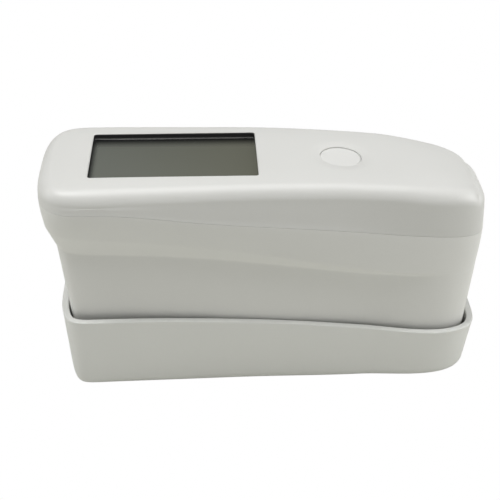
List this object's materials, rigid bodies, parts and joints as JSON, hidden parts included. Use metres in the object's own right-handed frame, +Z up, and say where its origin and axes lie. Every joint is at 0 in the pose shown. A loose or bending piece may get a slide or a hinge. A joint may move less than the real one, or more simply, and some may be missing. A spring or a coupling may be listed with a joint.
{
  "type": "gloss meter",
  "caption": "Handheld surface gloss meter with display and push button, resting in its calibration base that holds a black glass standard under the measuring aperture.",
  "frame": {"origin": "on the table, under the middle of the whole: centre of the bounding box, at its lowest face", "axes": "+X along the case from the display end to the nose, +Y across it to the battery cover side, +Z up"},
  "size_m": [0.155, 0.055, 0.0832],
  "materials": {
    "case_plastic": "fine spark-eroded texture, warm light grey",
    "base_plastic": "fine texture, light grey",
    "button_plastic": "satin light grey",
    "window_glass": "smoked clear acrylic over the display",
    "display_panel": "grey liquid-crystal glass, unlit",
    "pale_plastic": "white",
    "black_plastic": "matt black",
    "strip_rubber": "conductive silicone strip",
    "pad_foam": "closed-cell foam",
    "standard_glass": "polished opaque black glass",
    "black_aluminium": "black anodised",
    "lens_glass": "clear polished",
    "board": "green solder mask over glass-fibre laminate",
    "cell_sleeve": "plain printed sleeve, blank",
    "steel": "plated steel"
  },
  "bodies": {
    "case": {"top_cover": "case_plastic", "lower_housing": "case_plastic", "calibration_base": "base_plastic", "calibration_tile": "standard_glass", "tile_pad": "pad_foam", "base_plate": "black_aluminium", "display_window": "window_glass", "lcd_panel": "display_panel", "backlight_panel": "pale_plastic", "lcd_frame": "black_plastic", "lcd_strip_near": "strip_rubber", "lcd_strip_far": "strip_rubber", "main_board": "board", "processor": "black_plastic", "button_switch": "black_plastic", "optical_block": "black_aluminium", "source_lens": "lens_glass", "receiver_lens": "lens_glass", "source_spacer": "black_aluminium", "receiver_spacer": "black_aluminium", "source_stop": "black_plastic", "receiver_stop": "black_plastic", "lamp_holder": "black_plastic", "detector_holder": "black_plastic", "lamp": "lens_glass", "photodiode": "steel", "lamp_board": "board", "detector_board": "board", "battery_tray": "black_plastic", "battery_cell": "cell_sleeve", "battery_spring": "steel", "battery_contact": "steel", "spring_contact": "steel", "case_screw_1": "steel", "case_screw_2": "steel", "case_screw_3": "steel", "case_screw_4": "steel", "board_screw_1": "steel", "board_screw_2": "steel", "block_screw_1": "steel", "block_screw_2": "steel"},
    "button": {"measure_button": "button_plastic", "switch_plunger": "pale_plastic"},
    "bay_cover": {"battery_cover": "case_plastic"}
  },
  "joints": [
    {"name": "button_press", "type": "slide", "parent": "case", "child": "button", "axis": [-0.0576, 0, -0.9983], "range_m": [0, 0.0005], "stiffness_N_per_m": 3000},
    {"name": "battery_cover_slide", "type": "slide", "parent": "case", "child": "bay_cover", "axis": [1, 0, 0], "range_m": [0, 0.006]}
  ]
}
